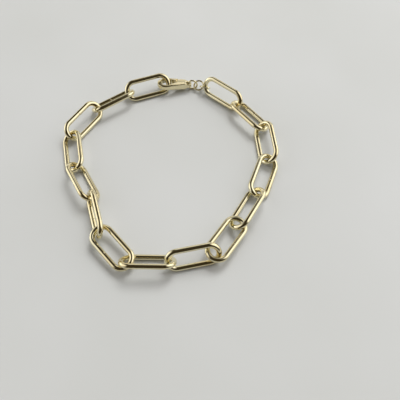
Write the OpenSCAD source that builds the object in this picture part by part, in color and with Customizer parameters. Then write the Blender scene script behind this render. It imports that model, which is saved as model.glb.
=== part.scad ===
// A bracelet of long oval wire links with a lobster clasp and three small rings.
// It is fastened and lies in a loop on a flat surface at z = 0. All sizes are millimetres.
// The far side of the loop, where the clasp lies, is towards +Y.

/* [Links] */
// Outside length of one link
link_length = 15.3; // [13:0.1:20]
// Outside width of one link
link_width = 6.9; // [6.4:0.1:8]
// Thickness of the round wire in a link
link_wire = 1.5; // [1.2:0.05:1.6]

/* [Small rings] */
// Outside width of one small ring
ring_width = 3.6; // [3.6:0.1:4.2]
// Thickness of the round wire in a small ring
ring_wire = 0.55; // [0.5:0.05:0.55]

/* [Clasp] */
// Length of the clasp from its tail eye to its nose
clasp_length = 11.2; // [11:0.1:14]
// Width of the clasp across its nose
clasp_width = 5.3; // [5.2:0.1:6.5]
// Thickness of the clasp along its middle
clasp_thick = 2.2; // [2:0.1:2.6]
// Thickness of the clasp at its outer edges
clasp_edge = 1.2; // [1:0.1:1.6]
// Length of solid metal at the nose
nose_length = 1.3; // [1.1:0.1:1.6]
// Width of the two arms beside the throat
arm_width = 0.95; // [0.85:0.05:1.1]
// Diameter of the eye in the tail, which a small ring goes through
eye_hole = 1.3; // [1.2:0.05:1.4]
// Width of the metal round the eye
eye_wall = 0.6; // [0.5:0.05:0.7]
// Thickness of the tail at its eye
tail_thick = 1; // [0.9:0.1:1.2]

/* [Lever] */
// Distance from the tail to the lever's pin
pin_place = 4; // [3.9:0.1:4.3]
// Diameter of the pin that the lever turns on
pin_width = 0.6; // [0.5:0.05:0.7]
// Length of the lever from the pin to its tip
lever_reach = 2.6; // [2.4:0.1:2.8]
// Thickness of the lever's round root between the two ears
root_thick = 1.0; // [0.8:0.1:1.2]
// Width of the thumb nub on the lever
nub_width = 0.9; // [0.8:0.1:1]

/* [Fit] */
// Clear space between two links that hook together
hook_gap = 0.12; // [0.1:0.01:0.2]
// Clear space between a small ring and what it hooks into
ring_gap = 0.16; // [0.15:0.01:0.2]
// Clear space along the chain between the clasp's nose and the link that hangs on it
nose_gap = 1.55; // [1.4:0.05:1.7]
// Clear space between the lever and the clasp body
lever_gap = 0.12; // [0.1:0.01:0.15]
// Clear space round the pin in the lever
pin_gap = 0.04; // [0.03:0.01:0.06]

/* [Hidden] */
$fn = 64;
gold = [0.85, 0.77, 0.52];
gold_lever = [0.8, 0.72, 0.46];

// Route of the chain on the surface, seen from above, from the clasp's nose round to its tail.
// It is a closed list of corners near the joints. It is scaled so that the whole chain just fits it.
route = [
    [-10.2, 43], [-22, 39.5], [-32, 33], [-38.5, 23.5], [-36, 10.5], [-30.5, 1], [-27, -11.5],
    [-19.5, -19.5], [-7.5, -19.5], [4, -17.5], [10, -9], [16.5, 1], [21, 12], [20, 24], [13, 33],
    [4, 41], [2, 42], [0, 42.8], [-1.7, 43]
];

// How each link lies, in the order of the route.
// Roll in degrees lifts the outer side of the loop. Fill is the share of its longest reach between two joints.
// Lift is how many wires it lies above the surface. Pitch in degrees lifts the end farther along the route.
ROLL = 0;
FILL = 1;
LIFT = 2;
PITCH = 3;
link_pose = [
    [44, 1, 0, 0],
    [-36, 1, 0, 0],
    [49, 1, 0, 0],
    [-30, 1, 0, 0],
    [42, 1, 0, 0],
    [-67, 0.98, 0, 0],
    [-5, 0.9, 0.95, -4],
    [42, 0.98, 0, 0],
    [-58, 0.99, 0, 0],
    [-6, 0.83, 1, -3],
    [37, 0.99, 0, 0],
    [-27, 0.98, 0, 0],
    [41, 1, 0, 0],
    [-30, 0.98, 0, 0],
    [63, 0.96, 0, 0]
];
// How the three small rings lie after the last link, with the same roll, fill and pitch.
// Up is the height of the middle above the surface. Aside is how far it lies outside the route.
UP = 2;
ASIDE = 4;
ring_pose = [
    [-45, 1, 1.9, -10, -0.2],
    [30, 0.99, 1.7, 0, -0.1],
    [-100, 0.85, 1.8, -5, -0.3]
];
// How the clasp lies, in the same columns. Its nose rests on the near side of the first link.
clasp_pose = [-12, 1, 2.05, 5, -0.1];

LINKS = len(link_pose);
RINGS = len(ring_pose);
CLASP = LINKS + RINGS;
ITEMS = CLASP + 1;

// Link and ring centre lines
link_bend = (link_width - link_wire) / 2;
link_straight = link_length - link_width;
ring_bend = (ring_width - ring_wire) / 2;

// Clasp outline, with x from the tail towards the nose
nose_r = clasp_width / 2;
nose_x = clasp_length - nose_r;
tail_r = eye_hole / 2 + eye_wall;
scoop_r = 2.6;
throat_end = clasp_length - nose_length;
throat_r = nose_r - arm_width;
throat_back_r = 0.65;
throat_back_x = pin_place + 0.7 + throat_back_r;
pin_y = -0.7;
ear_r = 0.85;
pocket_r = ear_r + 0.32;
arm_start_r = ear_r + 0.35;
nub_turn = -115;
nub_out = ear_r + nub_width * 0.4;
nub_y = pin_y + nub_out * sin(nub_turn);
edge_round = 0.7;
dome_sag = (clasp_thick - clasp_edge) / 2;
dome_r = (nose_r * nose_r + dome_sag * dome_sag) / (2 * dome_sag);

// Sizes along the chain for item number k: links, then rings, then the clasp
function start_bar(k) = k < LINKS ? link_wire : k < CLASP ? ring_wire : eye_wall;
function end_bar(k) = k < LINKS ? link_wire : k < CLASP ? ring_wire : nose_length;
function span(k) = k < LINKS ? link_length - link_wire
    : k < CLASP ? ring_width - ring_wire
    : clasp_length - (eye_wall + nose_length) / 2;
// How far the bars of items k - 1 and k reach past each other at joint k
function hook(k) = k % ITEMS == 0 ? (nose_length + link_wire) / 2 + nose_gap
    : (end_bar(k - 1) + start_bar(k)) / 2 + (k < LINKS ? hook_gap : ring_gap);
function reach(k) = span(k) - (hook(k) + hook(k + 1)) / 2;
function pose(k) = k < LINKS ? link_pose[k] : k < CLASP ? ring_pose[k - LINKS] : clasp_pose;
function fill(k) = pose(k)[FILL];
function slack(k) = reach(k) * (1 - fill(k));
function chord(k) = reach(k) * fill(k);

// Walking the route in straight steps, one step an item
function corner(size, i) = size * route[i % len(route)];
function crossing(a, b, p, d) =
    let (u = b - a, w = a - p, q = u * u, h = w * u)
    (sqrt(max(0, h * h - q * (w * w - d * d))) - h) / q;
function step(size, p, d, i) =
    norm(corner(size, i + 1) - p) < d
    ? step(size, p, d, i + 1)
    : let (t = crossing(corner(size, i), corner(size, i + 1), p, d))
        [corner(size, i) * (1 - t) + corner(size, i + 1) * t, i, t];
function walk(size, k, p, i) =
    k == ITEMS ? []
    : let (s = step(size, p, chord(k), i)) concat([s], walk(size, k + 1, s[0], s[1]));
function walk_end(size) = let (s = walk(size, 0, corner(size, 0), 0)[ITEMS - 1]) s[1] + s[2];
// The scale of the route at which the last step ends where the first one began
function fit(low, high, n) =
    n == 0 ? (low + high) / 2
    : let (mid = (low + high) / 2)
        walk_end(mid) > len(route) ? fit(mid, high, n - 1) : fit(low, mid, n - 1);
route_size = fit(0.6, 1.8, 40);
steps = walk(route_size, 0, corner(route_size, 0), 0);
function joint(k) = k == 0 || k == ITEMS ? corner(route_size, 0) : steps[k - 1][0];

// Roll, pitch, heading and middle point of item k
function roll(k) = pose(k)[ROLL];
function pitch(k) = pose(k)[PITCH];
function way(k) = (joint(k + 1) - joint(k)) / norm(joint(k + 1) - joint(k));
function heading(k) = atan2(way(k)[1], way(k)[0]);
function aside(k) = k < LINKS ? 0 : pose(k)[ASIDE];
function middle(k) = joint(k) + way(k) * (span(k) - hook(k) - slack(k)) / 2
    + aside(k) * [way(k)[1], -way(k)[0]];
function link_height(k) = link_wire / 2 + link_bend * abs(sin(roll(k)))
    + pose(k)[LIFT] * (link_wire + hook_gap);
clasp_middle = (eye_wall + span(CLASP)) / 2;
function height(k) = k < LINKS ? link_height(k) : pose(k)[UP];

// Reach of item k from its middle in the flat direction e, to find the middle of the whole bracelet
function along(k, e) = abs(way(k) * e) * cos(pitch(k));
function across(k, e) = abs(way(k)[0] * e[1] - way(k)[1] * e[0]);
clasp_side = max(nose_r * cos(roll(CLASP)) + clasp_edge / 2 * sin(abs(roll(CLASP))),
    (nub_width / 2 - nub_y) * cos(roll(CLASP)) + nub_width / 2 * sin(abs(roll(CLASP))));
function extent(k, e) = k < LINKS
    ? link_straight / 2 * along(k, e) + link_bend * norm([along(k, e), across(k, e) * cos(roll(k))]) + link_wire / 2
    : k < CLASP ? ring_width / 2
    : (clasp_length - clasp_width) / 2 * along(k, e) + clasp_side * across(k, e);
function low(e) = min([for (k = [0:CLASP]) middle(k) * e - extent(k, e)]);
function high(e) = max([for (k = [0:CLASP]) middle(k) * e + extent(k, e)]);
centre = [(low([1, 0]) + high([1, 0])) / 2, (low([0, 1]) + high([0, 1])) / 2];

// Puts what is drawn along x round its middle where item k lies
module lay(k) {
    translate([middle(k)[0] - centre[0], middle(k)[1] - centre[1], height(k)])
        rotate([-roll(k), -pitch(k), heading(k)])
            children();
}

// Half a ring of round wire, open towards -x
module bend(bend_r, wire) {
    rotate([0, 0, -90])
        rotate_extrude(angle = 180)
            translate([bend_r, 0])
                circle(d = wire);
}

module link_shape() {
    for (side = [-1, 1]) {
        translate([-link_straight / 2, side * link_bend, 0])
            rotate([0, 90, 0])
                cylinder(h = link_straight, d = link_wire);
        translate([side * link_straight / 2, 0, 0])
            rotate([0, 0, 90 - side * 90])
                bend(link_bend, link_wire);
    }
}

module round_ring(width, wire) {
    rotate_extrude()
        translate([(width - wire) / 2, 0])
            circle(d = wire);
}

module link(k) {
    color(gold)
        lay(k)
            link_shape();
}

module small_ring(k) {
    color(gold)
        lay(k)
            round_ring(ring_width, ring_wire);
}

// Two circles on the x axis, joined by straight sides that cut just inside them
module drop(x1, r1, x2, r2) {
    lean = asin((r2 - r1) / (x2 - x1));
    inset = 0.02;
    translate([x1, 0])
        circle(r1);
    translate([x2, 0])
        circle(r2);
    polygon([
        for (y = [-1, 1])
            for (p = y < 0 ? [[x1, r1 - inset], [x2, r2 - inset]] : [[x2, r2 - inset], [x1, r1 - inset]])
                [p[0] - p[1] * sin(lean), y * p[1] * cos(lean)]
    ]);
}

// The clasp seen from above, with no gap for the lever
module clasp_outline() {
    difference() {
        drop(tail_r, tail_r, nose_x, nose_r);
        drop(throat_back_x, throat_back_r, throat_end - throat_r, throat_r);
        translate([tail_r, 0])
            circle(d = eye_hole);
    }
}

// What is cut away to thin the tail from both faces towards its eye
module tail_scoops() {
    for (side = [-1, 1])
        translate([tail_r / 2, 0, side * (tail_thick / 2 + scoop_r)])
            rotate([90, 0, 0])
                cylinder(h = clasp_width, r = scoop_r, center = true);
}

// The stretch of one arm that the lever fills, up to a given distance from the pin
module lever_window(far) {
    intersection() {
        at_pin()
            circle(far);
        translate([pin_place, -clasp_width])
            square([clasp_length, clasp_width - 0.2]);
    }
}

// The space in the slot that the thumb nub sweeps
module nub_path() {
    intersection() {
        at_pin()
            circle(nub_out + nub_width / 2 + lever_gap);
        translate([pin_place + nub_out * cos(nub_turn) - nub_width / 2 - lever_gap, -clasp_width])
            square([clasp_width, clasp_width + pin_y]);
    }
}

module at_pin() {
    translate([pin_place, pin_y])
        children();
}

// A large round bar that ends in a ball at the nose. Its surface makes one domed face of the clasp.
module dome_bar(z) {
    translate([0, 0, z])
        rotate([0, 90, 0])
            rotate_extrude($fn = 180) {
                square([dome_r, nose_x]);
                translate([0, nose_x])
                    intersection() {
                        circle(dome_r);
                        square(dome_r);
                    }
            }
}

// Gives a flat shape the clasp's thickness, domed on both faces
module domed() {
    intersection() {
        linear_extrude(clasp_thick + 2, center = true)
            children();
        dome_bar(clasp_thick / 2 - dome_r);
        dome_bar(dome_r - clasp_thick / 2);
    }
}

module lay_clasp() {
    lay(CLASP)
        translate([-clasp_middle, 0, 0])
            children();
}

// What is cut away to round the throat's edges where the chain bears on the nose
module throat_edges() {
    for (side = [-1, 1])
        mirror([0, 0, side < 0 ? 1 : 0])
            translate([throat_end - throat_r, 0, 0])
                rotate_extrude()
                    difference() {
                        translate([throat_r - 0.1, clasp_thick / 2 - edge_round])
                            square([edge_round + 0.1, edge_round + 0.1]);
                        translate([throat_r + edge_round, clasp_thick / 2 - edge_round])
                            circle(edge_round);
                    }
}

module clasp_body_shape() {
    difference() {
        domed()
            difference() {
                clasp_outline();
                difference() {
                    lever_window(lever_reach + lever_gap);
                    at_pin()
                        circle(ear_r);
                }
            }
        throat_edges();
        tail_scoops();
        linear_extrude(root_thick + 2 * lever_gap, center = true) {
            lever_window(lever_reach + lever_gap);
            at_pin()
                circle(pocket_r);
            nub_path();
        }
    }
    at_pin()
        cylinder(h = root_thick + 3 * lever_gap, d = pin_width, center = true);
}

module clasp_body() {
    color(gold)
        lay_clasp()
            clasp_body_shape();
}

module lever_shape() {
    difference() {
        union() {
            domed()
                difference() {
                    intersection() {
                        clasp_outline();
                        lever_window(lever_reach);
                    }
                    at_pin()
                        circle(arm_start_r);
                }
            linear_extrude(root_thick, center = true) {
                at_pin()
                    circle(ear_r);
                intersection() {
                    clasp_outline();
                    lever_window(lever_reach);
                }
            }
            at_pin()
                rotate([0, 0, nub_turn])
                    translate([nub_out, 0, 0])
                        cylinder(h = root_thick - 0.1, d = nub_width, center = true);
        }
        at_pin()
            cylinder(h = clasp_thick + 1, d = pin_width + 2 * pin_gap, center = true);
    }
}

module clasp_lever() {
    color(gold_lever)
        lay_clasp()
            lever_shape();
}

function number(n) = n < 10 ? str("0", n) : str(n);
function link_name(k) = str("link_", number(k + 1));
function ring_name(k) = str("small_ring_", k - LINKS + 1);

for (k = [0:LINKS - 1])
    link(k);
for (k = [LINKS:CLASP - 1])
    small_ring(k);
clasp_body();
clasp_lever();
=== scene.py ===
"""Looks of the link bracelet.

Finer polished pieces stand for the CAD pieces and lie on a pale floor in soft light, seen from
where the photo was taken. Lengths are in metres, so a size in millimetres is multiplied by MM.
"""
import math

import bpy
import numpy as np
from mathutils import Matrix, Vector


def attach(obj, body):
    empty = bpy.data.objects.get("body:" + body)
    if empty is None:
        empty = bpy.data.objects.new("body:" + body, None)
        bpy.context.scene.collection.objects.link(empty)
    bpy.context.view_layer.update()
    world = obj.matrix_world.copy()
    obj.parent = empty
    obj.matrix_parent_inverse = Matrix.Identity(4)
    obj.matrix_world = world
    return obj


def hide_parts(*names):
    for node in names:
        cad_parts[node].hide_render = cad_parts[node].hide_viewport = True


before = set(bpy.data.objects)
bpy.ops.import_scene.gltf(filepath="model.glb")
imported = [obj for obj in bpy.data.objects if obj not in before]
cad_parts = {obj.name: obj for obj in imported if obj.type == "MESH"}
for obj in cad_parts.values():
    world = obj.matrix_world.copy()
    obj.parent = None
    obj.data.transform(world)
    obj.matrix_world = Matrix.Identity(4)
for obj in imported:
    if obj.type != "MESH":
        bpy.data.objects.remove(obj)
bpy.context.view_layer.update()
scene = bpy.context.scene
MM = 0.001

# Camera: its place and angles were fitted to the ruler's marks in the photo
ELEVATION = math.radians(60.3)
ROLL = math.radians(-2.4)
DISTANCE = 128.6 * MM
AIM = Vector((8.946, -11.793, 0.0)) * MM
PHOTO_WIDTH_PIXELS = 400
FOCAL_PIXELS = 450
SENSOR_WIDTH = 36
CLIP_NEAR = 2 * MM
CLIP_FAR = 20

# Gold, with the cells of its noise to the metre along X, Y and Z, and linear colours
DRIFT_CELLS = (120, 120, 120)
PATCH_CELLS = (900, 900, 900)
SCRATCH_CELLS = (1500, 9000, 3000)
SCRATCH_DEPTH = 0.02 * MM
DEEP_GOLD = (0.785, 0.675, 0.41)
PALE_GOLD = (0.80, 0.75, 0.53)
# How many times rougher the dullest patches are than the brightest
DULL_TO_BRIGHT = 1.9

# Wire pieces
LINK_COUNT = 15
RING_COUNT = 3
STEPS_ROUND_WIRE = 36
STEPS_LINK_END = 36
STEPS_RING_HALF = 48
STEPS_STRAIGHT = 32
# How strongly the points of a straight side are drawn to its middle, from 0 to 1
BUNCHING = 0.9
# A loop is round if its two half sizes differ by less than this
ROUND_LIMIT = 0.2 * MM
# How much smaller the wire's radius is than in the CAD, so that its box isn't larger
INSIDE_CAD = 0.001 * MM
# The pit where a link was soldered, with depths as shares of the wire's radius
PIT_HALF_WIDTH = 0.16 * MM
PIT_OUTER_SHARE = 0.15
PIT_DEPTH = 0.05
DARK_PIT_LINK = 3
DARK_PIT_DEPTH = 0.14

# Cast pieces, worked on in millimetres, and how many times each is smoothed
WELD_GAP_MM = 0.0005
VOXEL_MM = 0.05
SMOOTHING_FACTOR = 0.5
BODY_PASSES = 40
LEVER_PASSES = 16

# Floor
FLOOR_SIZE = 3
FLOOR_PARTS = 8
FLOOR_DROP = 0.01 * MM
FLOOR_CELLS = (22, 22, 22)
FLOOR_DARK = (0.60, 0.615, 0.61)
FLOOR_LIGHT = (0.635, 0.65, 0.655)
FLOOR_ROUGHNESS = 0.45
FLOOR_SHINE = 0.3

# Light
WINDOW_COLOUR = (1.0, 0.985, 0.96)
WALL_COLOUR = (0.045, 0.035, 0.02)
BACKDROP_COLOUR = (0.62, 0.63, 0.61)
LAMP_COLOUR = (1.0, 0.99, 0.97)


def new_object(name, data):
    """An object that shows the data, in the scene."""
    thing = bpy.data.objects.new(name, data)
    scene.collection.objects.link(thing)
    return thing


def add_camera():
    """The photo's camera: it looks from the front and above, and is rolled a little."""
    forward = Vector((0, math.cos(ELEVATION), -math.sin(ELEVATION)))
    level = Vector((1, 0, 0))
    upright = level.cross(forward)
    right = math.cos(ROLL) * level + math.sin(ROLL) * upright
    up = -math.sin(ROLL) * level + math.cos(ROLL) * upright
    camera = new_object("camera", bpy.data.cameras.new("camera"))
    turn = Matrix((right, up, -forward)).transposed().to_4x4()
    camera.matrix_world = Matrix.Translation(AIM - DISTANCE * forward) @ turn
    camera.data.sensor_width = SENSOR_WIDTH
    camera.data.lens = SENSOR_WIDTH * FOCAL_PIXELS / PHOTO_WIDTH_PIXELS
    camera.data.clip_start = CLIP_NEAR
    camera.data.clip_end = CLIP_FAR
    scene.camera = camera
    scene.view_settings.view_transform = "Standard"


add_camera()


# Materials
def new_material(name):
    """A material, with its nodes, its links and its surface shader."""
    material = bpy.data.materials.new(name)
    material.use_nodes = True
    nodes = material.node_tree.nodes
    return material, nodes, material.node_tree.links, nodes["Principled BSDF"]


def noise(nodes, links, cells, detail):
    """A noise value that is fixed to the piece, with the given cells to the metre."""
    place = nodes.new("ShaderNodeTexCoord")
    size = nodes.new("ShaderNodeMapping")
    size.inputs["Scale"].default_value = cells
    links.new(place.outputs["Object"], size.inputs["Vector"])
    texture = nodes.new("ShaderNodeTexNoise")
    texture.inputs["Scale"].default_value = 1.0
    texture.inputs["Detail"].default_value = detail
    links.new(size.outputs["Vector"], texture.inputs["Vector"])
    return texture.outputs["Fac"]


def blend_colours(nodes, links, value, limits, colours):
    """A colour that goes from the first to the second as the value goes from limit to limit."""
    ramp = nodes.new("ShaderNodeValToRGB")
    for stop, position, colour in zip(ramp.color_ramp.elements, limits, colours):
        stop.position = position
        stop.color = (*colour, 1)
    links.new(value, ramp.inputs["Fac"])
    return ramp.outputs["Color"]


def remap(nodes, links, value, limits, results, interpolation="LINEAR"):
    """A value that goes from the first to the second result as another goes from limit to limit."""
    step = nodes.new("ShaderNodeMapRange")
    step.interpolation_type = interpolation
    step.inputs["From Min"].default_value = limits[0]
    step.inputs["From Max"].default_value = limits[1]
    step.inputs["To Min"].default_value = results[0]
    step.inputs["To Max"].default_value = results[1]
    links.new(value, step.inputs["Value"])
    return step.outputs["Result"]


def gold(name, roughness, scratches):
    """Polished pale gold plate: slow tone drift, patchy polish and fine hairline scratches."""
    material, nodes, links, surface = new_material(name)
    surface.inputs["Metallic"].default_value = 1.0
    drift = noise(nodes, links, DRIFT_CELLS, detail=3.0)
    tone = blend_colours(nodes, links, drift, limits=(0.3, 0.7), colours=(DEEP_GOLD, PALE_GOLD))
    links.new(tone, surface.inputs["Base Color"])

    patches = noise(nodes, links, PATCH_CELLS, detail=5.0)
    polish = (roughness, roughness * DULL_TO_BRIGHT)
    spread = remap(nodes, links, patches, limits=(0.3, 0.75), results=polish)
    links.new(spread, surface.inputs["Roughness"])

    bump = nodes.new("ShaderNodeBump")
    bump.inputs["Strength"].default_value = scratches
    bump.inputs["Distance"].default_value = SCRATCH_DEPTH
    links.new(noise(nodes, links, SCRATCH_CELLS, detail=2.0), bump.inputs["Height"])
    links.new(bump.outputs["Normal"], surface.inputs["Normal"])
    return material


wire_gold = gold("wire_gold", roughness=0.075, scratches=0.08)
cast_gold = gold("cast_gold", roughness=0.14, scratches=0.12)


# Pieces that stand for CAD nodes
def stand_for(piece, node, body):
    """Smooth shading and the piece's body, with the CAD node that it stands for hidden."""
    for polygon in piece.data.polygons:
        polygon.use_smooth = True
    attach(piece, body)
    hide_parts(node)


def spread_of(node):
    """A node's centre, its axes from longest to shortest spread, and its half sizes along them."""
    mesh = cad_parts[node].data
    mesh.calc_loop_triangles()
    corners = np.array([vertex.co for vertex in mesh.vertices])
    triangles = corners[np.array([triangle.vertices for triangle in mesh.loop_triangles])]
    sides = triangles[:, 1:] - triangles[:, :1]
    area = np.linalg.norm(np.cross(sides[:, 0], sides[:, 1]), axis=1) / 2
    middle = (triangles.mean(1) * area[:, None]).sum(0) / area.sum()

    # Second moments of the surface, which are exact for flat triangles
    offsets = triangles - middle
    total = offsets.sum(1)
    weight = area / 12
    moments = np.einsum("t,tvi,tvj->ij", weight, offsets, offsets)
    moments += np.einsum("t,ti,tj->ij", weight, total, total)
    values, vectors = np.linalg.eigh(moments)
    axes = vectors[:, np.argsort(-values)].T
    local = (corners - middle) @ axes.T
    low = local.min(0)
    high = local.max(0)
    return middle + (low + high) / 2 @ axes, axes, (high - low) / 2


def oval_path(half_long, half_wide, steps_round):
    """Points and outward directions round an oval with straight sides, in its own plane.

    The points of a straight side are bunched toward its middle, where the soldered joint is.
    """
    run = half_long - half_wide
    has_straights = run > 0.001 * MM
    points = []
    outs = []
    for side in (1, -1):
        start = 0 if side == 1 else math.pi
        for step in range(steps_round):
            angle = math.radians(-90 + 180 * step / steps_round) + start
            out = (math.cos(angle), math.sin(angle))
            points.append((side * run + half_wide * out[0], half_wide * out[1]))
            outs.append(out)
        for step in range(STEPS_STRAIGHT if has_straights else 0):
            share = step / STEPS_STRAIGHT
            share += BUNCHING * math.sin(2 * math.pi * share) / (2 * math.pi)
            points.append((side * run * (1 - 2 * share), side * half_wide))
            outs.append((0, side))
    return np.array(points), np.array(outs)


def tube_faces(rings, sides):
    """Four-sided faces of a closed tube whose points come ring by ring."""
    faces = []
    for ring in range(rings):
        here = ring * sides
        ahead = (ring + 1) % rings * sides
        for side in range(sides):
            beside = (side + 1) % sides
            faces.append((here + side, ahead + side, ahead + beside, here + beside))
    return faces


def wire_piece(name, node, body, pit_depth):
    """A closed loop of round wire in a node's place, soldered on the bracelet's outer side.

    pit_depth is that of the pit at the joint's inner edge, as a share of the wire's radius.
    """
    middle, axes, half = spread_of(node)
    if middle[:2] @ axes[1][:2] > 0:
        axes[1:] *= -1
    radius = half[2]
    is_ring = half[0] - half[1] < ROUND_LIMIT
    steps_round = STEPS_RING_HALF if is_ring else STEPS_LINK_END
    path, outs = oval_path(half[0] - radius, half[1] - radius, steps_round)
    radius -= INSIDE_CAD
    turn = np.linspace(0, 2 * math.pi, STEPS_ROUND_WIRE, endpoint=False)
    inward = np.clip(-np.cos(turn), 0, 1)
    pit_round = PIT_OUTER_SHARE + (1 - PIT_OUTER_SHARE) * inward
    points = []
    for (along, across), out in zip(path, outs):
        fade = math.exp(-((along / PIT_HALF_WIDTH) ** 2)) if across < 0 else 0
        radii = radius * (1 - pit_depth * fade * pit_round)
        flat = np.array((along, across)) + (radii * np.cos(turn))[:, None] * out
        rise = (radii * np.sin(turn))[:, None] * axes[2]
        points.extend(middle + flat @ axes[:2] + rise)
    faces = tube_faces(len(path), STEPS_ROUND_WIRE)
    if np.linalg.det(axes) < 0:
        faces = [face[::-1] for face in faces]
    mesh = bpy.data.meshes.new(name)
    mesh.from_pydata([tuple(point) for point in points], [], faces)
    mesh.materials.append(wire_gold)
    stand_for(new_object(name, mesh), node, body)


for number in range(1, LINK_COUNT + 1):
    depth = DARK_PIT_DEPTH if number == DARK_PIT_LINK else PIT_DEPTH
    wire_piece(f"oval_link_{number:02d}", f"link_{number:02d}", "bracelet", depth)
for number in range(1, RING_COUNT + 1):
    wire_piece(f"joining_ring_{number}", f"small_ring_{number}", "bracelet", pit_depth=0.0)


def cast_piece(name, node, body, passes):
    """A copy of a node's solid with the soft edges of a cast and tumbled piece."""
    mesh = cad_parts[node].data.copy()
    mesh.transform(Matrix.Scale(1 / MM, 4))
    mesh.materials.clear()
    mesh.materials.append(cast_gold)
    piece = new_object(name, mesh)
    weld = piece.modifiers.new("weld", "WELD")
    weld.merge_threshold = WELD_GAP_MM
    grid = piece.modifiers.new("grid", "REMESH")
    grid.mode = "VOXEL"
    grid.voxel_size = VOXEL_MM
    soft = piece.modifiers.new("soft", "SMOOTH")
    soft.factor = SMOOTHING_FACTOR
    soft.iterations = passes
    bpy.context.view_layer.update()
    final = piece.evaluated_get(bpy.context.evaluated_depsgraph_get())
    piece.data = bpy.data.meshes.new_from_object(final)
    piece.modifiers.clear()
    piece.data.name = name
    piece.data.transform(Matrix.Scale(MM, 4))
    stand_for(piece, node, body)


cast_piece("lobster_clasp", "clasp_body", "bracelet", BODY_PASSES)
cast_piece("trigger_lever", "clasp_lever", "lever", LEVER_PASSES)


# Floor
def add_floor():
    """A pale, slightly mottled surface, just under the lowest links."""
    bpy.ops.mesh.primitive_grid_add(
        x_subdivisions=FLOOR_PARTS,
        y_subdivisions=FLOOR_PARTS,
        size=FLOOR_SIZE,
        location=(0, 0, -FLOOR_DROP),
    )
    floor = bpy.context.object
    floor.name = "floor"
    material, nodes, links, surface = new_material("floor")
    mottle = noise(nodes, links, FLOOR_CELLS, detail=2.0)
    tones = (FLOOR_DARK, FLOOR_LIGHT)
    tone = blend_colours(nodes, links, mottle, limits=(0.25, 0.75), colours=tones)
    links.new(tone, surface.inputs["Base Color"])
    surface.inputs["Roughness"].default_value = FLOOR_ROUGHNESS
    surface.inputs["Specular IOR Level"].default_value = FLOOR_SHINE
    floor.data.materials.append(material)


add_floor()

# The room that the metal reflects
world = bpy.data.worlds.new("room")
scene.world = world
world.use_nodes = True
room_nodes = world.node_tree.nodes
room_links = world.node_tree.links
room_nodes.clear()
room_place = room_nodes.new("ShaderNodeTexCoord")


def lobe(direction, inner, outer, within, beyond):
    """One value within inner degrees of a direction, and another beyond outer degrees of it."""
    cosine = room_nodes.new("ShaderNodeVectorMath")
    cosine.operation = "DOT_PRODUCT"
    cosine.inputs[1].default_value = Vector(direction).normalized()
    room_links.new(room_place.outputs["Generated"], cosine.inputs[0])
    limits = (math.cos(math.radians(outer)), math.cos(math.radians(inner)))
    values = (beyond, within)
    return remap(room_nodes, room_links, cosine.outputs["Value"], limits, values, "SMOOTHSTEP")


def combine(operation, first, second):
    """The sum or the product of two values."""
    result = room_nodes.new("ShaderNodeMath")
    result.operation = operation
    room_links.new(first, result.inputs[0])
    room_links.new(second, result.inputs[1])
    return result.outputs["Value"]


def background(colour):
    """An even glow of one colour."""
    glow = room_nodes.new("ShaderNodeBackground")
    glow.inputs["Color"].default_value = (*colour, 1)
    return glow


def light_room():
    """Two windows and a lamp, dimmed above the front, a light low wall behind, and dark walls."""
    right_window = lobe((0.9, 0.25, 0.5), inner=24, outer=47, within=1.5, beyond=0.0)
    left_window = lobe((-0.93, 0.1, 0.42), inner=18, outer=44, within=1.15, beyond=0.0)
    back_lamp = lobe((0.03, 0.8, 0.6), inner=8, outer=18, within=1.0, beyond=0.0)
    photographer = lobe((0.0, -0.45, 0.89), inner=26, outer=40, within=0.5, beyond=1.0)
    low_down = lobe((0, 0, 1), inner=66, outer=80, within=0.0, beyond=0.95)
    behind = lobe((-0.3, 1, 0), inner=60, outer=85, within=1.0, beyond=0.0)
    strength = combine("ADD", right_window, left_window)
    strength = combine("ADD", strength, back_lamp)
    strength = combine("MULTIPLY", strength, photographer)
    strength = combine("ADD", strength, combine("MULTIPLY", low_down, behind))
    windows = background(WINDOW_COLOUR)
    room_links.new(strength, windows.inputs["Strength"])
    walls = background(WALL_COLOUR)
    room = room_nodes.new("ShaderNodeAddShader")
    room_links.new(windows.outputs["Background"], room.inputs[0])
    room_links.new(walls.outputs["Background"], room.inputs[1])
    return room.outputs["Shader"]


def show_backdrop(room):
    """The camera sees an even pale backdrop, and everything else sees the room."""
    backdrop = background(BACKDROP_COLOUR)
    ray = room_nodes.new("ShaderNodeLightPath")
    choice = room_nodes.new("ShaderNodeMixShader")
    room_links.new(ray.outputs["Is Camera Ray"], choice.inputs[0])
    room_links.new(room, choice.inputs[1])
    room_links.new(backdrop.outputs["Background"], choice.inputs[2])
    output = room_nodes.new("ShaderNodeOutputWorld")
    room_links.new(choice.outputs["Shader"], output.inputs["Surface"])


show_backdrop(light_room())


# Lamps
def panel(name, place_mm, size_mm, watts):
    """A soft lamp that lights the floor and isn't seen in the metal, which reflects the room."""
    light = bpy.data.lights.new(name, "AREA")
    light.energy = watts
    light.size = size_mm * MM
    light.color = LAMP_COLOUR
    lamp = new_object(name, light)
    lamp.location = Vector(place_mm) * MM
    lamp.rotation_euler = (-lamp.location).to_track_quat("-Z", "Y").to_euler()
    lamp.visible_glossy = False


panel("window", place_mm=(330, 690, 990), size_mm=540, watts=8.5)
panel("ceiling", place_mm=(120, 180, 1260), size_mm=1260, watts=2.7)
